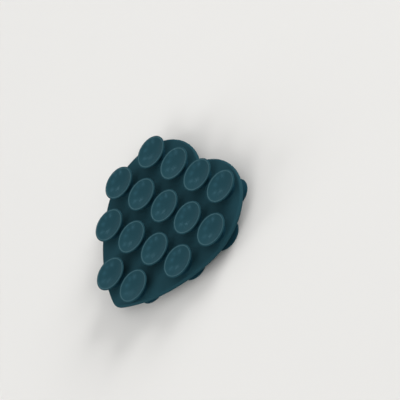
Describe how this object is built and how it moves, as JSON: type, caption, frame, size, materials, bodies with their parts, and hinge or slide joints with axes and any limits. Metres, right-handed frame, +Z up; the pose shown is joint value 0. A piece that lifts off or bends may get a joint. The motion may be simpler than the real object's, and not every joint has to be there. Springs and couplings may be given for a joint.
{
  "type": "suction cup phone holder",
  "caption": "Two-sided moulded silicone pad: a heart-shaped sheet with rows of round suction cups on both faces, which holds a phone to a smooth surface.",
  "frame": {"origin": "middle of the pad's box, on the surface that its lower rims rest on", "axes": "+X across the heart, +Y from the heart's tip towards its two lobes, +Z up, square to the sheet"},
  "size_m": [0.068, 0.0588, 0.0082],
  "materials": {
    "silicone": "satin"
  },
  "bodies": {
    "root": {"suction_pad": "silicone"}
  },
  "joints": []
}
